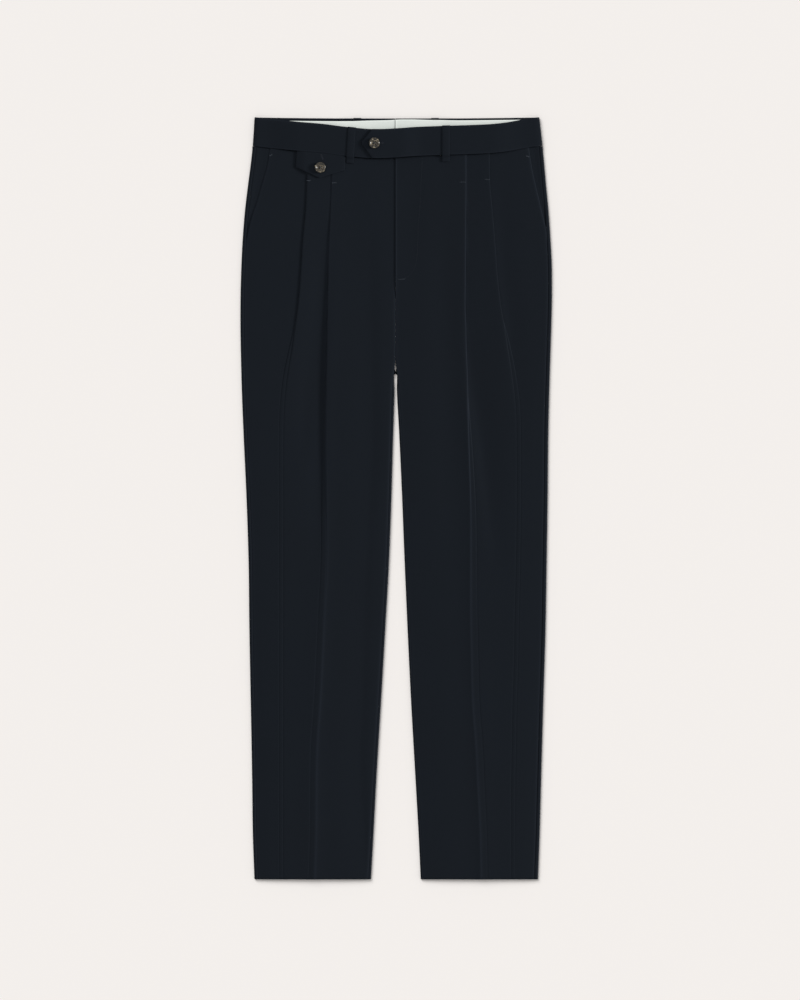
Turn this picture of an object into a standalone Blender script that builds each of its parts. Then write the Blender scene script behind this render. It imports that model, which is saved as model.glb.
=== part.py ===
"""Pleated dress trousers laid flat on their back, front up, with each cut piece as a cloth wall.

Frame: X to the wearer's left, Y towards the waist, Z up, origin under the middle of the garment.
Lengths below are in millimetres. A height is measured up from the hem, and a spread is the
distance out from the middle line, so the same rules draw both legs.
"""
import math

import bmesh
import bpy
import numpy as np

MM = 0.001

# Driving dimensions
LENGTH = 1080.0            # hem to the top of the waistband
MIDDLE = -1.0              # x of the centre front and centre back seams
GAP = 0.3                  # left between pieces that are sewn together or lie on each other
PANEL_WALL = 1.0
BAND_WALL = 1.6
TRIM_WALL = 1.2            # belt loops and flap, which are made double
CREST = 5.4                # z of the pleats' and creases' top layer
SEAM_LEVEL = 3.6           # z where the front meets the back
CENTRE_LEVEL = 4.1         # z of the fronts along the centre seam
POCKET_LEVEL = 4.2         # z of the front's edge along the slant pocket
WRAP_RADIUS = 1.55         # the back panel's turn at a leg's edge
SEAM_INSET = 5.0           # side seam, in from the leg's outer edge
INSEAM_INSET = 3.5
CROTCH = 739.0
UNROLL_START = 690.0       # the inner edges open out flat from here up to the crotch
POCKET_FOOT = 899.0
FLY_FOOT = 851.0
FLY_FULL = 868.0           # the fly's lap has its full width from here up
FLY_LAP = 4.0              # the right front runs this far past the middle, under the left
FLY_RISE = 1.3
BAND_DEPTH = 41.0
BAND_LEVEL = 7.0           # z of the front waistband over the pleats
BAND_SIDE_LEVEL = 4.6
BAND_BACK_LEVEL = 0.8
BACK_DIP = 1.7             # the back waistband's top edge is this much lower in the middle
LOOP_WIDTH = 12.0
LOOP_LIFT = 1.5            # the back rides this high over the belt loops under it
BUTTON_RADIUS = 7.6
BUTTON_HEIGHT = 3.0

# The edges of both legs, as x, from the hem up to the top of the waistband.
# height, right_side, right_inner, left_inner, left_side
OUTLINE = (
    (0.0, -201.2, -35.5, 34.5, 201.4),
    (56.0, -203.5, -32.3, 32.0, 203.5),
    (141.0, -204.5, -27.9, 27.2, 205.8),
    (247.0, -206.4, -21.5, 21.1, 208.8),
    (354.0, -208.4, -15.3, 15.9, 212.0),
    (438.0, -209.3, -10.5, 12.2, 213.4),
    (524.0, -211.5, -6.9, 8.9, 215.1),
    (630.0, -216.7, -4.0, 4.1, 215.8),
    (715.0, -219.8, -1.6, -0.2, 218.0),
    (778.0, -221.0, MIDDLE, MIDDLE, 220.0),
    (821.0, -221.1, MIDDLE, MIDDLE, 221.1),
    (864.0, -220.0, MIDDLE, MIDDLE, 221.1),
    (906.0, -218.0, MIDDLE, MIDDLE, 219.1),
    (948.0, -214.7, MIDDLE, MIDDLE, 216.3),
    (991.0, -209.5, MIDDLE, MIDDLE, 212.2),
    (1034.0, -204.1, MIDDLE, MIDDLE, 208.4),
    (1080.0, -201.1, MIDDLE, MIDDLE, 203.3),
)

# Spread of the two fold lines of each front: the inner pleat, which runs on as the leg's
# crease, and the outer pleat, which fades at mid thigh.
# height, right_crease, right_pleat, left_crease, left_pleat
FOLD_LINES = (
    (0.0, 114.9, 160.0, 121.0, 163.0),
    (130.0, 112.6, 160.0, 116.4, 163.0),
    (189.0, 111.4, 160.0, 113.5, 164.0),
    (278.0, 105.5, 160.0, 108.2, 166.0),
    (352.0, 102.4, 160.0, 106.6, 168.0),
    (455.0, 98.2, 160.0, 106.1, 170.0),
    (620.0, 99.2, 160.0, 103.1, 171.0),
    (665.0, 99.0, 158.8, 101.9, 169.8),
    (720.0, 98.4, 153.1, 101.0, 163.0),
    (751.0, 97.8, 147.7, 99.7, 158.5),
    (812.0, 96.7, 139.2, 98.2, 148.6),
    (905.0, 94.9, 132.4, 98.8, 140.1),
    (951.0, 92.8, 128.4, 99.1, 136.6),
    (990.0, 91.5, 126.7, 99.3, 133.3),
    (1040.0, 90.4, 125.4, 99.4, 132.3),
)

# How the folds fade down the leg. A lap is how far the upper layer covers the turn under it,
# and below nought the fold has opened into a slope; a step is the drop across the fold.
# height, crease_lap, crease_step, pleat_lap, pleat_step, pleat_top
FOLD_DEPTHS = (
    (0.0, -9.0, 0.0, -6.0, 0.0, 4.7),
    (450.0, -9.0, 0.2, -6.0, 0.0, 4.8),
    (560.0, -8.0, 0.9, -6.0, 0.0, 4.6),
    (640.0, -5.0, 1.8, -6.0, 0.0, 4.3),
    (690.0, 0.0, 2.6, -6.0, 0.0, 4.2),
    (750.0, 4.0, 2.6, -5.0, 1.3, 4.7),
    (790.0, 7.0, 2.6, 0.0, 2.6, 5.2),
    (821.0, 9.0, 2.6, 4.0, 2.6, 5.4),
    (906.0, 12.5, 2.6, 9.0, 2.6, 5.4),
    (986.0, 16.0, 2.6, 14.0, 2.6, 5.4),
    (1040.0, 16.0, 2.6, 14.0, 2.6, 5.4),
)

# Soft troughs pressed into each front: one outside the crease and one along the inner thigh.
# height, right_spread, right_depth, left_spread, left_depth, right_thigh, left_thigh, thigh_depth
TROUGHS = (
    (0.0, 128.0, 0.0, 136.0, 0.0, 60.0, 60.0, 0.0),
    (300.0, 118.0, 0.0, 132.0, 0.1, 46.0, 52.0, 0.4),
    (450.0, 112.0, 0.4, 142.0, 0.2, 38.0, 52.0, 0.5),
    (560.0, 108.0, 0.7, 138.0, 0.6, 34.0, 58.0, 0.4),
    (640.0, 107.0, 0.6, 130.0, 0.7, 30.0, 66.0, 0.6),
    (705.0, 110.0, 0.4, 122.0, 0.4, 28.0, 70.0, 0.7),
    (821.0, 113.0, 0.0, 118.0, 0.0, 30.0, 70.0, 0.6),
    (906.0, 113.0, 0.0, 119.0, 0.0, 32.0, 64.0, 0.3),
    (1040.0, 110.0, 0.0, 117.0, 0.0, 34.0, 56.0, 0.0),
)

# The slant pocket's edge, as a spread. height, right, left
POCKET_EDGES = (
    (896.0, 215.2, 218.4),
    (908.0, 212.0, 215.8),
    (944.0, 203.0, 207.1),
    (957.0, 198.4, 204.1),
    (985.0, 190.6, 197.6),
    (1012.0, 183.0, 192.0),
    (1040.0, 178.6, 188.0),
)

# How far the front waistband's top edge dips below the sides. x, dip
FRONT_DIP = (
    (-202.0, 0.0),
    (-169.0, 3.7),
    (-136.0, 7.1),
    (-104.0, 9.9),
    (-70.0, 14.2),
    (-30.0, 17.4),
    (4.0, 16.2),
    (28.0, 14.3),
    (63.0, 12.9),
    (108.0, 11.4),
    (136.0, 10.0),
    (160.0, 7.1),
    (174.0, 4.3),
    (190.0, 1.4),
    (204.0, 0.0),
)

# Rows of a panel, as heights, closer together where the pleats and pockets change.
PANEL_ROWS = (
    0.0, 70.0, 141.0, 247.0, 354.0, 450.0, 560.0, 640.0, 690.0, 715.0, CROTCH, 765.0, 790.0, 821.0,
    FLY_FOOT, FLY_FULL, POCKET_FOOT, 920.0, 944.0, 965.0, 986.0, 1012.0, 1038.5,
)

# The tab on the left waistband
TAB_TIP = -49.7
TAB_SHOULDER = -33.5
TAB_RISE_FROM = 38.0
TAB_RISE_TO = 8.0
TAB_LIFT = BAND_WALL + GAP

# The coin pocket's flap: x at the waist seam, and x and height of its lower corners
FLAP_SEAM_XS = (-140.8, -71.7)
FLAP_POINTS = ((-142.3, 1009.0), (-108.8, 993.9), (-72.9, 1004.5))

# name, x at the top, x at the foot
FRONT_LOOPS = (
    ("belt_loop_front_right", -62.5, -65.0),
    ("belt_loop_front_left", 70.6, 70.5),
)
BACK_LOOP_X = 55.1
LOOP_OUTER = BACK_LOOP_X + LOOP_WIDTH / 2 + 1.0
LOOP_FOOT_BELOW_SEAM = 9.5

# name, x, height, z of the cloth's face under it
BUTTONS = (
    ("waistband_button", -30.9, 1042.7, BAND_LEVEL + TAB_LIFT + BAND_WALL / 2),
    ("coin_flap_button", -107.5, 1008.3, CREST + PANEL_WALL / 2 + GAP + TRIM_WALL),
)

WOOL = ("navy_wool", (0.012, 0.016, 0.023), 0.85)
LINING = ("waistband_lining", (0.78, 0.80, 0.77), 0.8)
HORN = ("horn", (0.10, 0.065, 0.04), 0.3)


def table_value(table, column, at):
    """Read one column of a table on a smooth curve through its rows."""
    keys = np.array([row[0] for row in table])
    values = np.array([row[column] for row in table])
    slopes = np.gradient(values, keys)
    low = int(np.clip(np.searchsorted(keys, at) - 1, 0, len(keys) - 2))
    span = keys[low + 1] - keys[low]
    t = float(np.clip((at - keys[low]) / span, 0.0, 1.0))
    start = (1 + 2 * t) * (1 - t) ** 2 * values[low] + t * (1 - t) ** 2 * span * slopes[low]
    finish = t * t * (3 - 2 * t) * values[low + 1] + t * t * (t - 1) * span * slopes[low + 1]
    return float(start + finish)


def table_line(table, column, at):
    """Read one column of a table on straight lines between its rows."""
    return float(np.interp(at, [row[0] for row in table], [row[column] for row in table]))


def ease(value, start, finish):
    """0 before start, 1 after finish, and a smooth rise between them."""
    t = min(1.0, max(0.0, (value - start) / (finish - start)))
    return t * t * (3 - 2 * t)


def side_spread(side, height):
    """Spread of the leg's outer edge."""
    return side * table_value(OUTLINE, 1 if side < 0 else 4, height)


def inner_spread(side, height):
    """Spread of the leg's inner edge, or of the centre seam above the crotch."""
    if height >= CROTCH:
        return side * MIDDLE
    return side * table_value(OUTLINE, 2 if side < 0 else 3, height)


def front_top_edge(x):
    """Height of the front waistband's top edge."""
    return LENGTH - table_line(FRONT_DIP, 1, x)


def waist_drop(x, height):
    """How far a point of the front moves down to follow the waist seam."""
    return table_line(FRONT_DIP, 1, x) * ease(height, 880.0, 1036.0)


def over_loops(spread, height):
    """How far the back rises over the belt loops that lie under it."""
    across = 1.0 - ease(abs(spread), LOOP_OUTER, LOOP_OUTER + 26.0)
    return LOOP_LIFT * across * ease(height, 985.0, 1026.0)


def cloth(name, points, wall, look, even=True):
    """A wall of cloth: a grid whose rows are the lists of points, made solid."""
    rows = len(points)
    columns = len(points[0])
    grid = bmesh.new()
    bmesh.ops.create_grid(grid, x_segments=columns - 1, y_segments=rows - 1, size=1.0)
    for vertex in grid.verts:
        column = round((vertex.co.x + 1) / 2 * (columns - 1))
        row = round((vertex.co.y + 1) / 2 * (rows - 1))
        x, y, z = points[row][column]
        vertex.co = (x * MM, (y - LENGTH / 2) * MM, z * MM)
    mesh = bpy.data.meshes.new(name)
    grid.to_mesh(mesh)
    grid.free()
    piece = add_piece(name, mesh, look)
    solid = piece.modifiers.new("wall", "SOLIDIFY")
    solid.thickness = wall * MM
    solid.offset = 0.0
    solid.use_even_offset = even
    return piece


def add_piece(name, mesh, look):
    """Put a mesh in the garment's collection with its own material."""
    piece = bpy.data.objects.new(name, mesh)
    garment.objects.link(piece)
    slot, colour, roughness = look
    material = bpy.data.materials.new(f"{slot}_{name}")
    material.use_nodes = True
    shader = material.node_tree.nodes["Principled BSDF"]
    shader.inputs["Base Color"].default_value = (*colour, 1.0)
    shader.inputs["Roughness"].default_value = roughness
    shader.inputs["Metallic"].default_value = 0.0
    material.diffuse_color = (*colour, 1.0)
    mesh.materials.append(material)
    return piece


def fold(edge, lap, top, step):
    """The six points across a reverse pleat or an opened one, from the outer side inwards."""
    turn = 0.7
    inner = edge - lap
    close = min(1.0, max(-1.0, lap / (2 * turn)))
    bulge = 0.15 * (1 - abs(close))
    return [
        (inner + turn, top - step),
        (inner, top - 0.75 * step),
        (inner + close * turn, top - (0.5 + 0.5 * bulge) * step),
        (edge - close * turn, top - (0.5 - 0.5 * bulge) * step),
        (edge, top - 0.25 * step),
        (edge - turn, top),
    ]


def front_section(side, height):
    """Points across a front, as (spread, z), from the side seam or pocket to the middle."""
    right = side < 0
    crease = table_value(FOLD_LINES, 1 if right else 3, height)
    pleat = table_value(FOLD_LINES, 2 if right else 4, height)
    crease_lap = table_line(FOLD_DEPTHS, 1, height)
    crease_step = table_line(FOLD_DEPTHS, 2, height)
    pleat_lap = table_line(FOLD_DEPTHS, 3, height)
    pleat_step = table_line(FOLD_DEPTHS, 4, height)
    pleat_top = table_line(FOLD_DEPTHS, 5, height)
    trough = table_value(TROUGHS, 1 if right else 3, height)
    trough_depth = table_line(TROUGHS, 2 if right else 4, height)
    thigh = table_value(TROUGHS, 5 if right else 6, height)
    thigh_depth = table_line(TROUGHS, 7, height)

    edge, edge_level = front_outer_edge(side, height)
    pleat_foot = pleat_top - pleat_step
    crease_foot = CREST - crease_step
    outer = [
        (edge, edge_level),
        (edge - 0.4 * (edge - pleat), edge_level + 0.5 * (pleat_foot - edge_level)),
        (edge - 0.75 * (edge - pleat), edge_level + 0.9 * (pleat_foot - edge_level)),
    ]
    between = [(trough, 0.5 * (crease_foot + min(pleat_top, crease_foot)) - trough_depth)]
    middle, middle_level = front_inner_edge(side, height)
    fold_root = min(crease, crease - crease_lap)
    falling = fold_root - 14.0
    inner = [
        (falling, CREST - 0.35),
        (0.5 * (falling + thigh), 0.5 * (CREST - 0.35 + CENTRE_LEVEL + 0.6)),
        (thigh, CENTRE_LEVEL + 0.4 - thigh_depth),
        (middle + 0.35 * (thigh - middle), CENTRE_LEVEL + 0.25 - 0.5 * thigh_depth),
        (middle, middle_level),
    ]
    pleat_points = fold(pleat, pleat_lap, pleat_top, pleat_step)
    crease_points = fold(crease, crease_lap, CREST, crease_step)
    return outer + pleat_points + between + crease_points + inner


def front_outer_edge(side, height):
    """Where a front begins: at the side seam, or at the slant pocket above its foot."""
    seam = side_spread(side, height) - SEAM_INSET - GAP
    if height < POCKET_FOOT:
        return seam, SEAM_LEVEL
    pocket = table_value(POCKET_EDGES, 1 if side < 0 else 2, height)
    level = SEAM_LEVEL + (POCKET_LEVEL - SEAM_LEVEL) * ease(height, POCKET_FOOT, 920.0)
    return min(seam, pocket), level


def front_inner_edge(side, height):
    """Where a front ends: at the inseam, at the centre seam, or under or over the fly."""
    closed = 1.0 - ease(height, UNROLL_START, CROTCH)
    spread = inner_spread(side, height) + closed * (INSEAM_INSET + GAP) + (1 - closed) * GAP / 2
    level = CENTRE_LEVEL + (SEAM_LEVEL - CENTRE_LEVEL) * closed
    if side > 0:
        level += FLY_RISE * ease(height, 815.0, FLY_FOOT)
    else:
        under = (height - FLY_FOOT) / (FLY_FULL - FLY_FOOT)
        spread -= (FLY_LAP - MIDDLE + GAP / 2) * min(1.0, max(0.0, under))
    return spread, level


def front_points(side):
    """Rows of points for one front."""
    rows = []
    for height in PANEL_ROWS:
        row = []
        for spread, z in front_section(side, height):
            x = side * spread
            row.append((x, height - GAP - waist_drop(x, height), z))
        rows.append(row)
    rows[0] = [(x, 0.0, z) for x, _, z in rows[0]]
    return rows


def turned_edge(edge, inset, inward):
    """Points of the back panel from its seam on top, round the leg's edge, to the floor."""
    centre = edge + inward * (PANEL_WALL / 2 + WRAP_RADIUS)
    floor = PANEL_WALL / 2
    points = [(edge + inward * inset, SEAM_LEVEL)]
    for degrees in (90, 30, -30, -90):
        angle = math.radians(degrees)
        out = WRAP_RADIUS * math.cos(angle)
        points.append((centre - inward * out, floor + WRAP_RADIUS * (1 + math.sin(angle))))
    return points


def back_section(side, height):
    """Points across a back, as (spread, z), from the side seam to the inseam or centre seam."""
    outer = turned_edge(side_spread(side, height), SEAM_INSET, -1)
    inner_edge = inner_spread(side, height)
    rolled = turned_edge(inner_edge, INSEAM_INSET, 1)
    closed = 1.0 - ease(height, UNROLL_START, CROTCH)
    inner = []
    for step, (spread, z) in enumerate(rolled):
        flat = inner_edge + GAP / 2 + 1.5 * step
        inner.append((flat + closed * (spread - flat), PANEL_WALL / 2 + closed * (z - PANEL_WALL / 2)))
    inner.reverse()
    broad = [(spread, PANEL_WALL / 2) for spread in (150.0, 95.0, LOOP_OUTER, 35.0 + 0.3 * inner_edge)]
    return outer + broad + inner


def back_points(side):
    """Rows of points for one back, lifted over the belt loops near the waist."""
    rows = []
    for height in PANEL_ROWS:
        row = []
        for spread, z in back_section(side, height):
            x = side * spread
            dip = BACK_DIP * (1 - (spread / 205.0) ** 2) * ease(height, 985.0, 1036.0)
            if z > 1.0:
                dip = waist_drop(x, height)
            row.append((x, height - GAP - dip, z + over_loops(spread, height)))
        rows.append(row)
    rows[0] = [(x, 0.0, z) for x, _, z in rows[0]]
    return rows


def facing_points(side):
    """Rows of points for a hip facing, from the side seam to 10 mm under the front."""
    rows = []
    for height in (920.0, 944.0, 965.0, 986.0, 1012.0, 1038.5):
        seam = side_spread(side, height) - SEAM_INSET - GAP
        pocket = front_outer_edge(side, height)[0]
        showing = min(1.0, (seam - pocket) / 6.0)
        outer_level = 2.4 + (SEAM_LEVEL - 2.4) * showing
        section = [(seam, outer_level), (0.5 * (seam + pocket), 0.5 * (outer_level + 2.7)),
                   (pocket, 2.6), (pocket - 10.0, 2.3)]
        row = []
        for spread, z in section:
            x = side * spread
            row.append((x, height - GAP - waist_drop(x, height), z))
        rows.append(row)
    return rows


def band_front_level(x):
    """z of the front waistband, which comes down towards the sides."""
    return BAND_LEVEL - (BAND_LEVEL - BAND_SIDE_LEVEL) * ease(abs(x), 135.0, 185.0)


def back_top_edge(spread):
    """Height of the back waistband's top edge."""
    return LENGTH - BACK_DIP * (1 - (spread / 205.0) ** 2)


def band_section(side, height):
    """Points along a waistband half, as (spread, z, on the front), from centre back."""
    radius = (BAND_SIDE_LEVEL - BAND_BACK_LEVEL) / 2
    turn = side_spread(side, height) - BAND_WALL / 2 - radius
    start = side * MIDDLE + GAP / 2
    section = []
    for spread in (start, 35.0, LOOP_OUTER, LOOP_OUTER + 13.0, LOOP_OUTER + 26.0, 150.0, turn):
        section.append((spread, BAND_BACK_LEVEL + over_loops(spread, LENGTH), False))
    for degrees in (-45, 0, 45, 90):
        angle = math.radians(degrees)
        z = BAND_BACK_LEVEL + radius * (1 + math.sin(angle))
        section.append((turn + radius * math.cos(angle), z, degrees > 0))
    dips = [side * x for x, _ in FRONT_DIP if 20.0 < side * x < 195.0]
    for spread in sorted(dips, reverse=True):
        section.append((spread, band_front_level(spread), True))
    return section


def band_end(side, across):
    """The last points of a waistband half: plain under the tab, or pointed with the tab itself."""
    if side < 0:
        return [(-FLY_LAP, BAND_LEVEL)]
    point = TAB_SHOULDER - (TAB_SHOULDER - TAB_TIP) * (1 - abs(2 * across - 1))
    lifted = BAND_LEVEL + TAB_LIFT
    return [(TAB_RISE_TO, lifted), (-14.0, lifted), (point, lifted)]


def band_points(side):
    """Rows of points for a waistband half, lower edge first."""
    rows = []
    for across in (0.0, 0.5, 1.0):
        row = []
        base = LENGTH - BAND_DEPTH * (1 - across)
        for spread, z, on_front in band_section(side, base):
            x = side * spread
            top = front_top_edge(x) if on_front else back_top_edge(spread)
            if side > 0 and on_front:
                z += TAB_LIFT * (1 - ease(x, TAB_RISE_TO, TAB_RISE_FROM))
            row.append((x, top - BAND_DEPTH * (1 - across), z))
        for spread, z in band_end(side, across):
            x = side * spread
            row.append((x, front_top_edge(x) - BAND_DEPTH * (1 - across), z))
        rows.append(row)
    return rows


def lining_points(side):
    """Rows of points for the lining of a back waistband half, lower edge first."""
    top_inset = 4.0 if side < 0 else 2.3
    rows = []
    for inset in (38.0, top_inset):
        row = []
        end = side_spread(side, LENGTH) - 6.0
        start = side * MIDDLE + GAP / 2
        for spread in (start, 35.0, LOOP_OUTER, LOOP_OUTER + 13.0, LOOP_OUTER + 26.0, 150.0, end):
            z = BAND_BACK_LEVEL + over_loops(spread, LENGTH) + BAND_WALL / 2 + GAP + PANEL_WALL / 2
            row.append((side * spread, back_top_edge(spread) - inset, z))
        rows.append(row)
    return rows


def flap_points():
    """Rows of points for the coin pocket's flap, which lies across the tops of both pleats."""
    start, finish = FLAP_SEAM_XS
    corner_xs = [x for x, _ in FLAP_POINTS]
    corner_heights = [height for _, height in FLAP_POINTS]
    rows = []
    for down in (1.0, 0.5, 0.0):
        row = []
        for along in (0.0, 0.25, 0.46, 0.75, 1.0):
            top_x = start + along * (finish - start)
            low_x = corner_xs[0] + along * (corner_xs[2] - corner_xs[0])
            if along == 0.46:
                low_x = corner_xs[1]
            low = float(np.interp(low_x, corner_xs, corner_heights))
            x = top_x + down * (low_x - top_x)
            top = front_top_edge(top_x) - BAND_DEPTH - GAP
            level = CREST + PANEL_WALL / 2 + GAP + TRIM_WALL / 2
            level -= 1.4 * ease(-x, 129.0, 145.0)
            row.append((x, top + down * (low - top), level))
        rows.append(row)
    return rows


def loop_points(top_x, foot_x, top_height, seam_height, levels):
    """Rows of points for a belt loop, from its foot up over the waistband's edge and inside.

    The levels are the loop's z at its foot, over the band and inside, and its inner length.
    top_height and seam_height are functions of x, so the loop follows a sloping edge.
    """
    foot_level, over_level, inside_level, inside_length = levels
    middle = (over_level + inside_level) / 2
    reach = abs(over_level - inside_level) / 2
    outward = 1 if over_level > inside_level else -1
    path = [("seam", -LOOP_FOOT_BELOW_SEAM, foot_level), ("seam", -2.4, foot_level),
            ("seam", -0.9, over_level), ("seam", 21.0, over_level)]
    for degrees in (90, 50, 18, -18, -50, -90):
        angle = math.radians(degrees)
        path.append(("top", 1.1 * math.cos(angle), middle + outward * reach * math.sin(angle)))
    path.append(("top", -inside_length, inside_level))
    rows = []
    for start, rise, z in path:
        row = []
        for offset in (-LOOP_WIDTH / 2, LOOP_WIDTH / 2):
            top = top_height(top_x + offset)
            seam = seam_height(foot_x + offset)
            height = (seam if start == "seam" else top) + rise
            share = min(1.0, max(0.0, (height - seam) / (top - seam)))
            row.append((foot_x + share * (top_x - foot_x) + offset, height, z))
        rows.append(row)
    return rows


def button(name, x, height, face):
    """A four-hole button, turned with a raised rim, just clear of the cloth's face."""
    mesh = bpy.data.meshes.new(name)
    outline = bmesh.new()
    profile = ((0.0, 1.9), (4.6, 1.9), (5.3, 2.75), (6.3, BUTTON_HEIGHT), (7.2, 2.6),
               (BUTTON_RADIUS, 1.7), (6.6, 0.5), (4.4, 0.0), (0.0, 0.0))
    verts = [outline.verts.new((radius * MM, 0.0, z * MM)) for radius, z in profile]
    for first, second in zip(verts, verts[1:]):
        outline.edges.new((first, second))
    outline.to_mesh(mesh)
    outline.free()
    piece = add_piece(name, mesh, HORN)
    piece.location = (x * MM, (height - LENGTH / 2) * MM, (face + GAP) * MM)
    turn = piece.modifiers.new("turn", "SCREW")
    turn.steps = 24
    turn.render_steps = 24
    turn.use_merge_vertices = True
    turn.merge_threshold = 0.00001
    for corner in range(4):
        angle = math.radians(45 + 90 * corner)
        bpy.ops.mesh.primitive_cylinder_add(vertices=8, radius=0.85 * MM, depth=8 * MM)
        hole = bpy.context.object
        hole.name = f"cut_{name}_{corner}"
        offset = (1.9 * math.cos(angle) * MM, 1.9 * math.sin(angle) * MM, 1.5 * MM)
        hole.location = [centre + move for centre, move in zip(piece.location, offset)]
        hole.hide_render = True
        hole.display_type = "WIRE"
        for collection in hole.users_collection:
            collection.objects.unlink(hole)
        cutters.objects.link(hole)
        cut = piece.modifiers.new(f"hole_{corner}", "BOOLEAN")
        cut.operation = "DIFFERENCE"
        cut.object = hole
        cut.solver = "EXACT"
    return piece


for old in list(bpy.data.objects):
    bpy.data.objects.remove(old, do_unlink=True)

garment = bpy.data.collections.new("pleated_dress_trousers")
cutters = bpy.data.collections.new("cutters")
for collection in (garment, cutters):
    bpy.context.scene.collection.children.link(collection)

for word, side in (("right", -1), ("left", 1)):
    cloth(f"back_{word}", back_points(side), PANEL_WALL, WOOL, even=False)
    cloth(f"front_{word}", front_points(side), PANEL_WALL, WOOL)
    cloth(f"hip_facing_{word}", facing_points(side), PANEL_WALL, WOOL)
    cloth(f"waistband_{word}", band_points(side), BAND_WALL, WOOL)
    cloth(f"waistband_lining_{word}", lining_points(side), PANEL_WALL, LINING)

cloth("coin_pocket_flap", flap_points(), TRIM_WALL, WOOL)

over_band = BAND_LEVEL + BAND_WALL / 2 + GAP + TRIM_WALL / 2
under_band = BAND_LEVEL - BAND_WALL / 2 - GAP - TRIM_WALL / 2
on_front = CREST + PANEL_WALL / 2 + GAP + TRIM_WALL / 2
for name, top_x, foot_x in FRONT_LOOPS:
    levels = (on_front, over_band, under_band, 5.0)
    points = loop_points(top_x, foot_x, front_top_edge, lambda x: front_top_edge(x) - BAND_DEPTH, levels)
    cloth(name, points, TRIM_WALL, WOOL)

inside_back = BAND_BACK_LEVEL + LOOP_LIFT + BAND_WALL / 2 + GAP + TRIM_WALL / 2
for name, x in (("belt_loop_back_right", -BACK_LOOP_X), ("belt_loop_back_left", BACK_LOOP_X)):
    levels = (TRIM_WALL / 2, TRIM_WALL / 2, inside_back, 1.4)
    points = loop_points(x, x, back_top_edge, lambda x: back_top_edge(x) - BAND_DEPTH, levels)
    cloth(name, points, TRIM_WALL, WOOL)

for name, x, height, face in BUTTONS:
    button(name, x, height, face)
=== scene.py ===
"""Pleated dress trousers in fine navy wool, laid flat with the front up: the finished look.

Frame: X to the wearer's left, Y towards the waist, Z up. Sizes below are in millimetres, a
height is measured up from the hem, and a spread is the distance out from the middle line.
"""
import math

import bmesh
import bpy
import numpy as np
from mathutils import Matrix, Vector


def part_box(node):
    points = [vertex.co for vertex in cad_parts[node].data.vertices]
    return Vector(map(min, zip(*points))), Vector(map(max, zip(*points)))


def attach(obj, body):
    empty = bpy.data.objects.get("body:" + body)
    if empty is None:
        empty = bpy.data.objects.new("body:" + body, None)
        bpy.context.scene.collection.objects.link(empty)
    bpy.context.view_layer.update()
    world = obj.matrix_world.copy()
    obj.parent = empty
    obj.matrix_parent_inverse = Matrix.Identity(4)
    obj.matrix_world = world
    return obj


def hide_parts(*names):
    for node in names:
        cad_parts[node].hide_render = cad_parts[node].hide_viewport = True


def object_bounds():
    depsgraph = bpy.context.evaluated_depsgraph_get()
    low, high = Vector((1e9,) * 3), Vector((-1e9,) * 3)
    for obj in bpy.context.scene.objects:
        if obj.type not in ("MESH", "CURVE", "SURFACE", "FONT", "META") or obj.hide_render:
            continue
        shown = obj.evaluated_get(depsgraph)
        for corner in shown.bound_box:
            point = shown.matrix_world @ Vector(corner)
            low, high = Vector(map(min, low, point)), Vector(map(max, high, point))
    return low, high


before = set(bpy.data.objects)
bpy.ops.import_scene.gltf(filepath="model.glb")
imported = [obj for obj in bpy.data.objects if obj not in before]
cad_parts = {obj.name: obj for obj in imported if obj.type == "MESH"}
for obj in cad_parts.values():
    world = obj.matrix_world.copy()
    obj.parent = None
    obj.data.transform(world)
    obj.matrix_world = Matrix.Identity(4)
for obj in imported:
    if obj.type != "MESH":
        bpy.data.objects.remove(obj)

cad_low, cad_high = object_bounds()

# ---------------------------------------------------------------------------------------
# Studio: the trousers lie on a plain pale table top, lit softly from the upper left, and a
# second light skims the cloth alone from the wearer's left, to show its folds.
# The camera hangs straight above the middle of the garment.
# ---------------------------------------------------------------------------------------
MM = 0.001
LENS = 100.0
SENSOR = 36.0
FRAME_HEIGHT = 1.4164       # metres of table that the picture is tall
CLOTH_TOP = 0.006           # metres from the table to the top of the fronts
VIEW_CENTRE = (0.0055, -0.0024)
TABLE_COLOUR = (0.90, 0.867, 0.842, 1.0)

bpy.context.scene.view_settings.view_transform = "Standard"

camera_data = bpy.data.cameras.new("camera")
camera_data.lens = LENS
camera_data.sensor_width = SENSOR
camera_data.sensor_fit = "AUTO"
camera_data.clip_end = 50.0
camera = bpy.data.objects.new("camera", camera_data)
camera.location = (*VIEW_CENTRE, FRAME_HEIGHT * LENS / SENSOR + CLOTH_TOP)
bpy.context.scene.collection.objects.link(camera)
bpy.context.scene.camera = camera

table = bpy.data.meshes.new("table")
table_form = bmesh.new()
bmesh.ops.create_grid(table_form, x_segments=1, y_segments=1, size=12.0)
table_form.to_mesh(table)
table_form.free()
floor = bpy.data.objects.new("table", table)
floor.location.z = -0.0002
bpy.context.scene.collection.objects.link(floor)
table_paint = bpy.data.materials.new("table_paint")
table_paint.use_nodes = True
table_shader = table_paint.node_tree.nodes["Principled BSDF"]
table_shader.inputs["Base Color"].default_value = TABLE_COLOUR
table_shader.inputs["Roughness"].default_value = 1.0
table_shader.inputs["Specular IOR Level"].default_value = 0.0
table.materials.append(table_paint)

world = bpy.data.worlds.new("studio")
world.use_nodes = True
world.node_tree.nodes["Background"].inputs["Color"].default_value = (1.0, 0.995, 0.99, 1.0)
world.node_tree.nodes["Background"].inputs["Strength"].default_value = 0.55
bpy.context.scene.world = world

garment_lit = bpy.data.collections.new("lit_cloth")
table_lit = bpy.data.collections.new("lit_table")
table_lit.objects.link(floor)


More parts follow.
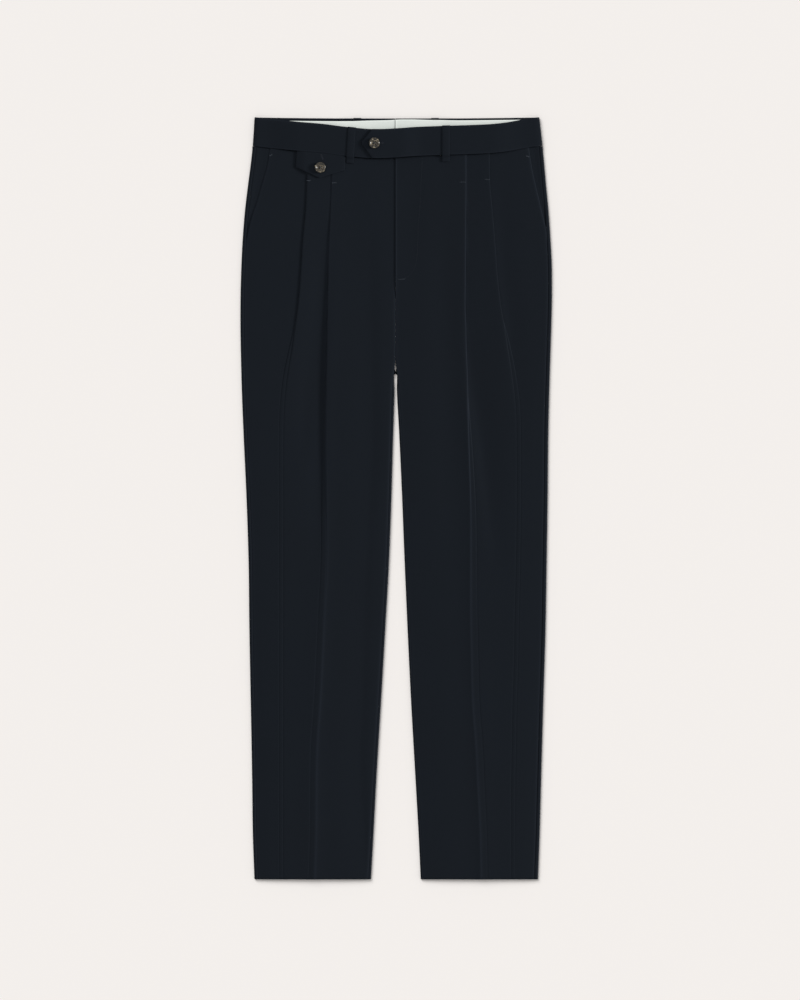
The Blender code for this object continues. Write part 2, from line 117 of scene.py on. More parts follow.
def distant_light(name, azimuth, elevation, spread, strength, receivers):
    """A large soft light far away, given by the angles it comes from and how wide it looks."""
    data = bpy.data.lights.new(name, "SUN")
    data.angle = math.radians(spread)
    data.energy = strength
    light = bpy.data.objects.new(name, data)
    light.rotation_euler = (math.radians(90 - elevation), 0.0, math.radians(90 + azimuth))
    bpy.context.scene.collection.objects.link(light)
    light.light_linking.receiver_collection = receivers


distant_light("table_light", 128.0, 38.0, 38.0, 2.3, table_lit)
distant_light("cloth_light", 8.0, 17.0, 10.0, 2.6, garment_lit)

# ---------------------------------------------------------------------------------------
# Navy wool: a fine, dry, almost matt twill of very dark blue yarn, about 0.45 mm thick. It
# is woven with a steep diagonal and varies a little from yarn to yarn. Where the iron has
# pressed a fold or a seam its colour is painted lighter, as a painted sheen.
# ---------------------------------------------------------------------------------------
WOOL_DARK = (0.0062, 0.0088, 0.0130, 1.0)
WOOL_LIGHT = (0.0100, 0.0138, 0.0200, 1.0)
# Lighter colour painted along pressed folds and seams: a painted sheen.
WOOL_PAINTED_SHEEN = (0.0165, 0.0215, 0.031, 1.0)
TWILL_PITCH = 0.00055       # metres between the diagonals
YARN_PITCH = 0.00028


def new_material(name):
    """A material, a function that links its nodes, one that adds a node, and its shader."""
    material = bpy.data.materials.new(name)
    material.use_nodes = True
    tree = material.node_tree
    link = tree.links.new

    def add(kind, **values):
        node = tree.nodes.new(kind)
        for key, value in values.items():
            if key in node.inputs:
                node.inputs[key].default_value = value
            else:
                setattr(node, key, value)
        return node

    return material, link, add, tree.nodes["Principled BSDF"]


def bands(add, link, coordinates, pitch, turn, distortion=0.0):
    """Straight bands of the given pitch in metres, turned by an angle in degrees."""
    place = add("ShaderNodeMapping")
    place.inputs["Rotation"].default_value = (0.0, 0.0, math.radians(turn))
    link(coordinates, place.inputs["Vector"])
    wave = add("ShaderNodeTexWave", wave_type="BANDS", bands_direction="X", Distortion=distortion)
    wave.inputs["Scale"].default_value = math.tau / 20.0 / pitch
    link(place.outputs["Vector"], wave.inputs["Vector"])
    return wave.outputs["Color"]


def wool(name, dark=WOOL_DARK, light=WOOL_LIGHT):
    """Twill wool whose colour drifts over the cloth, with a painted sheen lightening it along pressed folds
    and seams.
    """
    material, link, add, shader = new_material(name)
    weave = add("ShaderNodeUVMap", uv_map="weave").outputs["UV"]
    place = add("ShaderNodeTexCoord").outputs["Object"]

    drift = add("ShaderNodeTexNoise", Scale=9.0, Detail=3.0, Roughness=0.6)
    link(place, drift.inputs["Vector"])
    melange = add("ShaderNodeTexNoise", Scale=1500.0, Detail=2.0)
    link(place, melange.inputs["Vector"])
    shade = add("ShaderNodeMath", operation="MULTIPLY_ADD")
    shade.inputs[1].default_value = 0.5
    link(drift.outputs["Fac"], shade.inputs[0])
    half = add("ShaderNodeMath", operation="MULTIPLY")
    half.inputs[1].default_value = 0.5
    link(melange.outputs["Fac"], half.inputs[0])
    link(half.outputs[0], shade.inputs[2])
    yarn = add("ShaderNodeMix", data_type="RGBA")
    yarn.inputs["A"].default_value = dark
    yarn.inputs["B"].default_value = light
    link(shade.outputs[0], yarn.inputs["Factor"])

    # Painted sheen: a mask that mixes the lighter colour in along pressed folds, edges and seams.
    painted_sheen = add("ShaderNodeAttribute", attribute_name="painted_sheen")
    shine = add("ShaderNodeMix", data_type="RGBA")
    shine.inputs["B"].default_value = WOOL_PAINTED_SHEEN
    link(painted_sheen.outputs["Fac"], shine.inputs["Factor"])
    link(yarn.outputs["Result"], shine.inputs["A"])
    link(shine.outputs["Result"], shader.inputs["Base Color"])

    dullness = add("ShaderNodeMapRange")
    dullness.inputs["To Min"].default_value = 0.74
    dullness.inputs["To Max"].default_value = 0.9
    link(drift.outputs["Fac"], dullness.inputs["Value"])
    link(dullness.outputs["Result"], shader.inputs["Roughness"])

    twill = bands(add, link, weave, TWILL_PITCH, 62.0, 0.4)
    yarns = bands(add, link, weave, YARN_PITCH, 0.0, 0.6)
    relief = add("ShaderNodeMath", operation="ADD")
    link(twill, relief.inputs[0])
    link(yarns, relief.inputs[1])
    bump = add("ShaderNodeBump", Strength=0.35, Distance=0.00008)
    link(relief.outputs[0], bump.inputs["Height"])
    link(bump.outputs["Normal"], shader.inputs["Normal"])

    shader.inputs["Specular IOR Level"].default_value = 0.1
    shader.inputs["Sheen Weight"].default_value = 0.06
    shader.inputs["Sheen Roughness"].default_value = 0.45
    shader.inputs["Sheen Tint"].default_value = (0.62, 0.72, 0.9, 1.0)
    return material


navy_wool = wool("navy_wool")

# ---------------------------------------------------------------------------------------
# Backs: one back panel of wool for each leg, seat to hem. It is turned round both edges of
# the leg and its seams lie just inside them on the front. The panels meet down the centre
# back. The iron leaves a soft crease down each, and the cloth lies in a few long waves.
# ---------------------------------------------------------------------------------------
WOOL_WALL = 0.5
SEAM_GAP = 0.1
TOUCHING = 0.01             # half the space left where two panels' edges meet
SEAM_LEVEL = 3.6            # z where a front meets a back
FLOOR_LEVEL = 0.35          # z of the back panel where it lies on the table
SEAM_INSET = 5.0
INSEAM_INSET = 3.5
CROTCH = 739.0
UNROLL_START = 690.0
LOOP_LIFT = 1.7
LOOP_OUTER = 62.0           # spread past which the back lies on the table, beside its loops

LENGTH = (cad_high.y - cad_low.y) / MM
HEM_Y = cad_low.y
WAIST_SEAM = 1039.0

# Rows of a panel, closer together over the pleats and pockets.
PANEL_HEIGHTS = np.concatenate([np.linspace(0.0, 840.0, 176)[:-1], np.linspace(840.0, WAIST_SEAM, 84)])


def ease(value, start, finish):
    """0 before start, 1 after finish, and a smooth rise between them."""
    t = np.clip((np.asarray(value, float) - start) / (finish - start), 0.0, 1.0)
    return t * t * (3 - 2 * t)


def table_value(rows, column, at):
    """Read one column of a table on a smooth curve through its rows."""
    keys = np.array([row[0] for row in rows], float)
    values = np.array([row[column] for row in rows], float)
    slopes = np.gradient(values, keys)
    at = np.asarray(at, float)
    low = np.clip(np.searchsorted(keys, at) - 1, 0, len(keys) - 2)
    span = keys[low + 1] - keys[low]
    t = np.clip((at - keys[low]) / span, 0.0, 1.0)
    start = (1 + 2 * t) * (1 - t) ** 2 * values[low] + t * (1 - t) ** 2 * span * slopes[low]
    finish = t * t * (3 - 2 * t) * values[low + 1] + t * t * (t - 1) * span * slopes[low + 1]
    return start + finish


def node_edges(node, heights):
    """Lowest and highest x of a CAD node at each height, in millimetres."""
    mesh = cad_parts[node].data
    places = np.array([vertex.co for vertex in mesh.vertices]) / MM
    places[:, 1] -= HEM_Y / MM
    ends = np.array([edge.vertices for edge in mesh.edges])
    first, second = places[ends[:, 0]], places[ends[:, 1]]
    found = []
    for height in heights:
        crossing = (first[:, 1] - height) * (second[:, 1] - height) <= 0
        rise = second[crossing, 1] - first[crossing, 1]
        rise = np.where(np.abs(rise) < 1e-9, 1e-9, rise)
        share = np.clip((height - first[crossing, 1]) / rise, 0.0, 1.0)
        xs = first[crossing, 0] + share * (second[crossing, 0] - first[crossing, 0])
        found.append((xs.min(), xs.max()))
    return np.array(found)


OUTLINE_HEIGHTS = (
    1.0, 56.0, 141.0, 247.0, 354.0, 450.0, 540.0, 630.0, 690.0, 740.0, 790.0, 830.0, 870.0, 910.0,
    950.0, 985.0, 1015.0, 1034.0,
)


def leg_outline(side):
    """Rows of height, spread of the leg's outer edge and spread of its inner edge."""
    word = "right" if side < 0 else "left"
    edges = node_edges(f"back_{word}", OUTLINE_HEIGHTS)
    outer = np.abs(edges[:, 0] if side < 0 else edges[:, 1])
    inner = side * (edges[:, 1] if side < 0 else edges[:, 0])
    return list(zip(OUTLINE_HEIGHTS, outer, inner))


outlines = {side: leg_outline(side) for side in (-1, 1)}
middle = {}
for side in (-1, 1):
    above_crotch = [row[2] for row in outlines[side] if row[0] > CROTCH + 30]
    middle[side] = float(np.mean(above_crotch))


def side_spread(side, height):
    """Spread of the leg's outer edge."""
    return table_value(outlines[side], 1, height)


def inner_spread(side, height):
    """Spread of the leg's inner edge, or of the centre seam above the crotch."""
    spread = table_value(outlines[side], 2, height)
    return np.where(np.asarray(height) >= CROTCH, middle[side], spread)


SHORT_REACH = 1.6           # a long step keeps this much of a short neighbour's swing


def through(keys, counts):
    """Smooth curves through rows of key points, with so many steps between each two keys."""
    steps = np.diff(keys, axis=1)
    spans = np.maximum(np.linalg.norm(steps, axis=2, keepdims=True), 1e-6)
    slopes = np.zeros_like(keys)
    slopes[:, 0] = steps[:, 0] / spans[:, 0]
    slopes[:, -1] = steps[:, -1] / spans[:, -1]
    before, after = spans[:, :-1], spans[:, 1:]
    slopes[:, 1:-1] = (steps[:, :-1] / before * after + steps[:, 1:] / after * before) / (before + after)
    pieces = []
    for index, count in enumerate(counts):
        t = (np.arange(count) / count)[None, :, None]
        start, finish = keys[:, None, index], keys[:, None, index + 1]
        leave = np.minimum(spans[:, index], SHORT_REACH * spans[:, max(index - 1, 0)])
        arrive = np.minimum(spans[:, index], SHORT_REACH * spans[:, min(index + 1, len(counts) - 1)])
        leave, arrive = (leave * slopes[:, index])[:, None], (arrive * slopes[:, index + 1])[:, None]
        pieces.append((1 + 2 * t) * (1 - t) ** 2 * start + t * (1 - t) ** 2 * leave
                      + t * t * (3 - 2 * t) * finish + t * t * (t - 1) * arrive)
    pieces.append(keys[:, None, -1])
    return np.concatenate(pieces, axis=1)


def cloth(name, points, wall, material, replaced, painted_sheen=None, rim=0.0):
    """A shell of cloth through rows of points, with a weave map that follows the cloth."""
    rows, columns = points.shape[:2]
    grid = bmesh.new()
    weave = grid.loops.layers.uv.new("weave")
    bmesh.ops.create_grid(grid, x_segments=columns - 1, y_segments=rows - 1, size=1.0)
    across = np.zeros((rows, columns))
    across[:, 1:] = np.cumsum(np.linalg.norm(np.diff(points, axis=1), axis=2), axis=1)
    across -= across[:, columns // 2][:, None]
    along = np.zeros((rows, columns))
    along[1:] = np.cumsum(np.linalg.norm(np.diff(points, axis=0), axis=2), axis=0)
    cells = {}
    for vertex in grid.verts:
        column = round((vertex.co.x + 1) / 2 * (columns - 1))
        row = round((vertex.co.y + 1) / 2 * (rows - 1))
        cells[vertex.index] = (row, column)
        x, height, z = points[row, column]
        vertex.co = (x * MM, HEM_Y + height * MM, z * MM)
    for face in grid.faces:
        face.smooth = True
        for loop in face.loops:
            row, column = cells[loop.vert.index]
            loop[weave].uv = (across[row, column] * MM, along[row, column] * MM)
    mesh = bpy.data.meshes.new(name)
    grid.to_mesh(mesh)
    grid.free()
    # Painted sheen: a per-point mask that lightens the cloth's colour along pressed folds and edges.
    if painted_sheen is not None:
        shine = mesh.attributes.new("painted_sheen", "FLOAT", "POINT")
        ordered = [painted_sheen[cells[index]] for index in range(len(mesh.vertices))]
        shine.data.foreach_set("value", np.array(ordered, np.float32))
    piece = bpy.data.objects.new(name, mesh)
    bpy.context.scene.collection.objects.link(piece)
    solid = piece.modifiers.new("wall", "SOLIDIFY")
    solid.thickness = wall * MM
    solid.offset = 0.0
    solid.use_even_offset = True
    solid.thickness_clamp = 1.0
    if rim:
        soften = piece.modifiers.new("soft_edge", "BEVEL")
        soften.width = rim * MM
        soften.segments = 2
        soften.limit_method = "ANGLE"
        soften.angle_limit = math.radians(50.0)
    mesh.materials.append(material)
    garment_lit.objects.link(piece)
    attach(piece, "root")
    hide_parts(replaced)
    return piece


def over_loops(spread, height):
    """How far the back rises over the belt loops that lie under it."""
    across = 1.0 - ease(np.abs(spread), LOOP_OUTER, LOOP_OUTER + 26.0)
    return LOOP_LIFT * across * ease(height, 985.0, 1026.0)


# Long soft waves in each back: height, right_spread, right_lift, left_spread, left_lift, width
BACK_WAVES = (
    (0.0, 62.0, 0.0, 150.0, 0.0, 16.0),
    (180.0, 70.0, 0.35, 152.0, 0.2, 18.0),
    (420.0, 76.0, 0.8, 150.0, 0.7, 15.0),
    (600.0, 84.0, 0.9, 138.0, 1.1, 13.0),
    (760.0, 98.0, 0.3, 122.0, 0.6, 12.0),
    (900.0, 104.0, 0.0, 112.0, 0.0, 12.0),
)


def wrapped(edge, inset, inward):
    """Key points of a back panel from its seam, round the edge of the leg, down to the table."""
    top = SEAM_LEVEL - FLOOR_LEVEL
    radius = top / 2
    centre = edge + inward * (WOOL_WALL / 2 + radius)
    keys = [(edge + inward * inset, np.full_like(edge, SEAM_LEVEL))]
    for degrees in (80, 45, 0, -45, -90):
        angle = math.radians(degrees)
        keys.append((centre - inward * radius * math.cos(angle),
                     np.full_like(edge, FLOOR_LEVEL + radius * (1 + math.sin(angle)))))
    return keys


def back_points(side):
    """Rows of points across a back, from the side seam to the inseam or the centre seam."""
    heights = PANEL_HEIGHTS
    outer = wrapped(side_spread(side, heights), SEAM_INSET, -1)
    edge = inner_spread(side, heights)
    closed = 1.0 - ease(heights, UNROLL_START, CROTCH)
    inner = []
    for step, (spread, z) in enumerate(wrapped(edge, INSEAM_INSET, 1)):
        flat = edge + TOUCHING + 1.2 * step
        inner.append((flat + closed * (spread - flat), FLOOR_LEVEL + closed * (z - FLOOR_LEVEL)))
    broad = []
    for share in (0.12, 0.35, 0.5, 0.65, 0.88):
        spread = outer[-1][0] + share * (inner[-1][0] - outer[-1][0])
        broad.append((spread, np.full_like(spread, FLOOR_LEVEL)))
    keys = np.array(outer + broad + inner[::-1]).transpose(2, 0, 1)
    counts = [3] * 5 + [8, 12, 12, 12, 12, 8] + [3] * 5
    curve = through(keys, counts)
    spread, z = curve[..., 0], curve[..., 1]
    rows = heights[:, None]
    on_table = ease(spread, edge[:, None] + 8.0, edge[:, None] + 26.0)
    on_table = on_table * (1.0 - ease(spread, side_spread(side, rows) - 26.0, side_spread(side, rows) - 8.0))
    centre = table_value(BACK_WAVES, 1 if side < 0 else 3, rows)
    lift = table_value(BACK_WAVES, 2 if side < 0 else 4, rows)
    width = table_value(BACK_WAVES, 5, rows)
    z = z + on_table * lift * np.exp(-((spread - centre) / width) ** 2)
    z = z + over_loops(spread, rows)
    on_front = z > 2.0
    dip = np.where(on_front, waist_drop(side * spread, rows), back_dip(spread) * ease(rows, 985.0, 1036.0))
    return np.stack([side * spread, np.broadcast_to(rows, spread.shape) - dip, z], axis=2)


# How far the front waistband's top edge dips below the sides: x, dip
FRONT_DIP = (
    (-202.0, 0.0),
    (-169.0, 3.7),
    (-136.0, 7.1),
    (-104.0, 9.9),
    (-70.0, 14.2),
    (-30.0, 17.4),
    (4.0, 16.2),
    (28.0, 14.3),
    (63.0, 12.9),
    (108.0, 11.4),
    (136.0, 10.0),
    (160.0, 7.1),
    (174.0, 4.3),
    (190.0, 1.4),
    (204.0, 0.0),
)
BACK_DIP = 1.7


def front_dip(x):
    """How far the waist seam and top edge lie below their height at the sides."""
    return table_value(FRONT_DIP, 1, x)


def waist_drop(x, height):
    """How far a point of the front moves down to follow the waist seam."""
    return front_dip(x) * ease(height, 880.0, 1036.0)


def back_dip(spread):
    """How far the back's top edge lies below its height at the sides."""
    return BACK_DIP * (1 - (spread / 205.0) ** 2)


for word, side in (("right", -1), ("left", 1)):
    points = back_points(side)
    back = cloth(f"back_{word}_cloth", points, WOOL_WALL, navy_wool, f"back_{word}")

# ---------------------------------------------------------------------------------------
# Fronts: one front panel of wool for each leg. Two reverse pleats open towards the pocket,
# stitched down for the top 52 mm, and the inner one runs on as the leg's pressed crease.
# The left front laps over the right at the fly, which is stitched down to the crotch.
# ---------------------------------------------------------------------------------------
CREST = 5.4
CENTRE_LEVEL = 4.0
POCKET_LEVEL = 4.2
POCKET_FOOT = 899.0
FLY_FOOT = 851.0
FLY_FULL = 868.0
FLY_LAP = 4.0
FLY_RISE = 1.3
FOLD_TURN = 0.24            # a pressed fold's turn, as a share of its step

# Spread of the two fold lines of each front.
# height, right_crease, right_pleat, left_crease, left_pleat
FOLD_LINES = (
    (0.0, 114.9, 160.0, 121.0, 163.0),
    (70.0, 113.0, 160.0, 119.4, 163.0),
    (130.0, 112.6, 160.0, 116.4, 163.0),
    (189.0, 111.4, 160.0, 113.5, 164.0),
    (249.0, 107.2, 160.0, 109.0, 165.0),
    (308.0, 104.2, 160.0, 107.4, 167.0),
    (370.0, 101.5, 160.0, 106.2, 168.0),
    (455.0, 98.0, 160.0, 106.1, 170.0),
    (525.0, 98.4, 160.0, 105.9, 171.0),
    (620.0, 99.3, 160.0, 103.1, 171.0),
    (665.0, 99.0, 158.8, 101.9, 169.8),
    (720.0, 98.4, 153.1, 101.0, 163.6),
    (751.0, 97.8, 147.7, 99.7, 158.7),
    (778.0, 97.2, 143.9, 99.2, 154.6),
    (812.0, 96.8, 139.2, 98.1, 148.6),
    (852.0, 96.1, 135.6, 98.4, 144.0),
    (905.0, 94.9, 132.4, 98.8, 140.1),
    (951.0, 92.8, 128.4, 99.1, 136.6),
    (990.0, 91.5, 126.7, 99.4, 133.3),
    (1040.0, 90.4, 125.4, 99.4, 132.3),
)

# How the folds fade down the leg, as in the cut: a lap covers the turn under it and below
# nought the fold has opened into a slope; a step is the drop across the fold.
# height, crease_lap, right_step, left_step, pleat_lap, pleat_step, pleat_top
FOLD_DEPTHS = (
    (0.0, -9.0, 0.0, 0.0, -6.0, 0.0, 4.7),
    (380.0, -9.0, 0.1, 0.1, -6.0, 0.0, 4.8),
    (470.0, -8.0, 0.5, 0.3, -6.0, 0.0, 4.7),
    (560.0, -6.0, 1.3, 0.8, -6.0, 0.0, 4.5),
    (620.0, -4.0, 1.9, 1.4, -6.0, 0.0, 4.3),
    (690.0, 0.5, 2.6, 2.3, -6.0, 0.3, 4.3),
    (750.0, 4.0, 2.6, 2.4, -4.0, 0.9, 4.6),
    (790.0, 7.0, 2.5, 2.0, 0.0, 1.2, 5.0),
    (821.0, 9.0, 2.3, 1.7, 4.0, 1.3, 5.4),
    (906.0, 12.5, 1.6, 1.3, 9.0, 1.2, 5.4),
    (986.0, 16.0, 1.15, 1.15, 14.0, 1.15, 5.4),
    (1040.0, 16.0, 1.15, 1.15, 14.0, 1.15, 5.4),
)

# Soft troughs pressed into each front. Each row is a point along a trough:
# height, spread, width towards the middle, width towards the side, depth
RIGHT_TROUGHS = (
    (   # beside the crease, where the pleat opens out
        (440.0, 110.0, 8.0, 18.0, 0.0),
        (500.0, 109.0, 8.0, 17.0, 0.7),
        (580.0, 107.0, 8.0, 17.0, 1.4),
        (660.0, 106.0, 8.0, 17.0, 1.3),
        (740.0, 106.0, 8.0, 18.0, 1.1),
        (840.0, 106.0, 8.0, 14.0, 0.7),
        (930.0, 104.0, 8.0, 10.0, 0.0),
    ),
    (   # under the foot of the outer pleat
        (580.0, 134.0, 9.0, 10.0, 0.0),
        (620.0, 131.0, 9.0, 12.0, 0.6),
        (670.0, 128.0, 10.0, 12.0, 0.7),
        (730.0, 123.0, 10.0, 12.0, 0.5),
        (800.0, 118.0, 10.0, 10.0, 0.0),
    ),
    (   # along the inner thigh and down to the hem
        (0.0, 44.0, 8.0, 20.0, 0.0),
        (60.0, 46.0, 7.0, 22.0, 0.5),
        (160.0, 52.0, 9.0, 24.0, 0.9),
        (260.0, 49.0, 10.0, 24.0, 0.9),
        (400.0, 46.0, 11.0, 24.0, 0.8),
        (520.0, 40.0, 11.0, 24.0, 0.9),
        (640.0, 36.0, 13.0, 26.0, 1.2),
        (760.0, 38.0, 13.0, 26.0, 1.1),
        (860.0, 40.0, 13.0, 24.0, 0.8),
        (940.0, 42.0, 12.0, 22.0, 0.2),
        (1000.0, 42.0, 12.0, 22.0, 0.0),
    ),
)
LEFT_TROUGHS = (
    (   # outside the crease, drifting out down the thigh
        (430.0, 142.0, 10.0, 16.0, 0.0),
        (480.0, 138.0, 9.0, 18.0, 0.6),
        (525.0, 133.0, 9.0, 19.0, 1.1),
        (580.0, 127.0, 9.0, 20.0, 1.5),
        (640.0, 119.0, 9.0, 22.0, 1.6),
        (705.0, 110.0, 9.0, 24.0, 1.2),
        (760.0, 106.0, 8.0, 24.0, 0.7),
        (830.0, 104.0, 8.0, 20.0, 0.0),
    ),
    (   # inside the crease
        (420.0, 74.0, 20.0, 18.0, 0.0),
        (520.0, 76.0, 20.0, 20.0, 0.5),
        (640.0, 74.0, 22.0, 20.0, 0.9),
        (760.0, 70.0, 22.0, 20.0, 1.0),
        (860.0, 68.0, 20.0, 20.0, 0.6),
        (950.0, 66.0, 20.0, 20.0, 0.0),
    ),
    (   # outside the outer pleat
        (640.0, 176.0, 8.0, 16.0, 0.0),
        (700.0, 170.0, 8.0, 18.0, 0.5),
        (780.0, 162.0, 7.0, 18.0, 0.8),
        (860.0, 152.0, 6.0, 18.0, 0.8),
        (940.0, 146.0, 6.0, 18.0, 0.6),
        (1010.0, 142.0, 6.0, 14.0, 0.0),
    ),
)

# The slant pocket's edge, as a spread: height, right, left
POCKET_EDGES = (
    (896.0, 215.2, 218.4),
    (908.0, 212.0, 215.8),
    (944.0, 203.0, 207.1),
    (957.0, 198.4, 204.1),
    (985.0, 190.6, 197.6),
    (1012.0, 183.0, 192.0),
    (1040.0, 178.6, 188.0),
)


def fold_keys(edge, lap, top, step):
    """Key points across a reverse pleat or an opened one, from the outer side inwards."""
    turn = FOLD_TURN * np.clip(step, 1.1, 2.6)
    inner = edge - lap
    close = np.clip(lap / (2 * turn), -1.0, 1.0)
    bulge = 0.15 * (1 - np.abs(close))
    return [
        (inner + turn, top - step),
        (inner, top - 0.75 * step),
        (inner + close * turn, top - (0.5 + 0.5 * bulge) * step),
        (edge - close * turn, top - (0.5 - 0.5 * bulge) * step),
        (edge, top - 0.25 * step),
        (edge - turn, top),
    ]


def front_outer_edge(side, heights):
    """Where a front begins: at the side seam, or at the slant pocket above its foot."""
    seam = side_spread(side, heights) - SEAM_INSET - SEAM_GAP
    pocket = np.minimum(seam, table_value(POCKET_EDGES, 1 if side < 0 else 2, heights))
    opened = heights > POCKET_FOOT
    level = SEAM_LEVEL + (POCKET_LEVEL - SEAM_LEVEL) * ease(heights, POCKET_FOOT, 920.0)
    return np.where(opened, pocket, seam), level


def front_inner_edge(side, heights):
    """Where a front ends: at the inseam, at the centre seam, or under or over the fly."""
    closed = 1.0 - ease(heights, UNROLL_START, CROTCH)
    spread = inner_spread(side, heights)
    spread = spread + closed * (INSEAM_INSET + SEAM_GAP) + (1 - closed) * TOUCHING
    level = CENTRE_LEVEL + (SEAM_LEVEL - CENTRE_LEVEL) * closed
    if side > 0:
        return spread, level + FLY_RISE * ease(heights, 815.0, FLY_FOOT)
    under = np.clip((heights - FLY_FOOT) / (FLY_FULL - FLY_FOOT), 0.0, 1.0)
    return spread - (FLY_LAP + middle[side]) * under, level


def front_points(side):
    """Rows of points across a front, and the painted sheen at each point, strongest on the crease and both
    edges.
    """
    heights = PANEL_HEIGHTS
    right = side < 0
    crease = table_value(FOLD_LINES, 1 if right else 3, heights)
    pleat = table_value(FOLD_LINES, 2 if right else 4, heights)
    crease_lap = table_value(FOLD_DEPTHS, 1, heights)
    crease_step = table_value(FOLD_DEPTHS, 2 if right else 3, heights)
    pleat_lap = table_value(FOLD_DEPTHS, 4, heights)
    pleat_step = table_value(FOLD_DEPTHS, 5, heights)
    pleat_top = table_value(FOLD_DEPTHS, 6, heights)
    edge, edge_level = front_outer_edge(side, heights)
    centre, centre_level = front_inner_edge(side, heights)

    pleat_foot = pleat_top - pleat_step
    crease_foot = CREST - crease_step
    width = edge - pleat
    outer = [
        (edge, edge_level - 0.35),
        (edge - 1.2, edge_level),
        (edge - 0.4 * width, edge_level + 0.5 * (pleat_foot - edge_level) + 0.15),
        (edge - 0.75 * width, edge_level + 0.9 * (pleat_foot - edge_level)),
    ]
    between = [(0.5 * (pleat - pleat_lap + crease), 0.5 * (pleat_top + crease_foot) - 0.1)]
    root = np.minimum(crease, crease - crease_lap)
    falling = root - 14.0
    span = falling - centre
    inner = [
        (falling, np.full_like(falling, CREST - 0.35)),
        (centre + 0.62 * span, np.full_like(span, CENTRE_LEVEL + 0.95)),
        (centre + 0.3 * span, np.full_like(span, CENTRE_LEVEL + 0.55)),
        (centre + 1.2, 0.4 * CENTRE_LEVEL + 0.6 * centre_level + 0.1),
        (centre, centre_level - 0.1),
    ]
    keys = outer + fold_keys(pleat, pleat_lap, pleat_top, pleat_step) + between
    keys = keys + fold_keys(crease, crease_lap, np.full_like(crease, CREST), crease_step) + inner
    keys = np.array(keys).transpose(2, 0, 1)
    counts = [2, 10, 10, 6] + [2, 2, 5, 2, 2] + [9, 9] + [2, 2, 5, 2, 2] + [10, 12, 12, 12, 2]
    curve = through(keys, counts)
    spread, z = curve[..., 0], curve[..., 1]
    rows = heights[:, None]

    for trough in RIGHT_TROUGHS if right else LEFT_TROUGHS:
        across = spread - table_value(trough, 1, rows)
        reach = np.where(across < 0, table_value(trough, 2, rows), table_value(trough, 3, rows))
        depth = np.maximum(table_value(trough, 4, rows), 0.0)
        inside = ease(edge[:, None] - spread, 0.0, 8.0) * ease(spread - centre[:, None], 0.0, 8.0)
        z = z - inside * depth * np.exp(-(across / reach) ** 2)

    below_pleats = 1.0 - ease(rows, 620.0, 800.0)
    from_crease = np.abs(spread - crease[:, None])
    ridge = np.exp(-from_crease / 3.5)
    z = z + 0.55 * below_pleats * ridge

    # Painted sheen along the crease and along both edges of the front.
    painted_sheen = 0.5 * np.exp(-(from_crease / 1.6) ** 2)
    painted_sheen = painted_sheen + 0.35 * np.exp(-((spread - edge[:, None]) / 2.5) ** 2)
    painted_sheen = painted_sheen + 0.35 * np.exp(-((spread - centre[:, None]) / 2.5) ** 2)
    painted_sheen = np.clip(painted_sheen, 0.0, 1.0)
    x = side * spread
    height = np.broadcast_to(rows, spread.shape) - waist_drop(x, rows)
    return np.stack([x, height, z], axis=2), painted_sheen


for word, side in (("right", -1), ("left", 1)):
    points, painted_sheen = front_points(side)
    front = cloth(f"front_{word}_cloth", points, WOOL_WALL, navy_wool, f"front_{word}", painted_sheen)

# ---------------------------------------------------------------------------------------
# Hip facings: the strip of wool inside each slant pocket, which shows between the pocket's
# edge and the side seam and runs on under the front.
# ---------------------------------------------------------------------------------------
FACING_HEIGHTS = np.linspace(912.0, WAIST_SEAM, 60)


def facing_points(side):
    """Rows of points across a hip facing, from the side seam to 10 mm under the front."""
    heights = FACING_HEIGHTS
    seam = side_spread(side, heights) - SEAM_INSET - SEAM_GAP
    pocket = front_outer_edge(side, heights)[0]
    showing = np.clip((seam - pocket) / 6.0, 0.0, 1.0)
    outer_level = 2.6 + (SEAM_LEVEL - 2.6) * showing
    keys = [
        (seam, outer_level - 0.3),
        (seam - np.minimum(1.0, 0.2 * (seam - pocket) + 0.1), outer_level),
        (0.5 * (seam + pocket), 0.5 * outer_level + 1.6),
        (pocket - 0.5, np.full_like(seam, 3.55)),
        (pocket - 10.0, np.full_like(seam, 3.3)),
    ]
    curve = through(np.array(keys).transpose(2, 0, 1), [2, 6, 6, 5])
    spread, z = curve[..., 0], curve[..., 1]
    rows = heights[:, None]
    x = side * spread
    height = np.broadcast_to(rows, spread.shape) - waist_drop(x, rows)
    return np.stack([x, height, z], axis=2)


for word, side in (("right", -1), ("left", 1)):
    points = facing_points(side)
    facing = cloth(f"hip_facing_{word}_cloth", points, WOOL_WALL, navy_wool, f"hip_facing_{word}")

# ---------------------------------------------------------------------------------------
# Waistband: each half is a doubled strip of wool over a firm band, 41 mm deep, folded at its
# top edge and seamed to the panels below. It goes from the centre back round the side to the
# front, where the left half ends in a pointed tab that buttons over the right half.
# ---------------------------------------------------------------------------------------
BAND_DEPTH = 41.0
BAND_WALL = 1.5
BAND_LEVEL = 7.0
BAND_SIDE_LEVEL = 4.6
BAND_BACK_LEVEL = 0.85
TAB_TIP = -49.7
TAB_SHOULDER = -33.5
TAB_LIFT = 1.9
TAB_RISE_FROM = 38.0
TAB_RISE_TO = 8.0
BAND_SHARES = np.concatenate([[0.0, 0.02], np.linspace(0.06, 0.94, 12), [0.98, 1.0]])


def band_front_level(x):
    """z of the front waistband, which comes down towards the sides."""
    return BAND_LEVEL - (BAND_LEVEL - BAND_SIDE_LEVEL) * ease(np.abs(x), 135.0, 185.0)


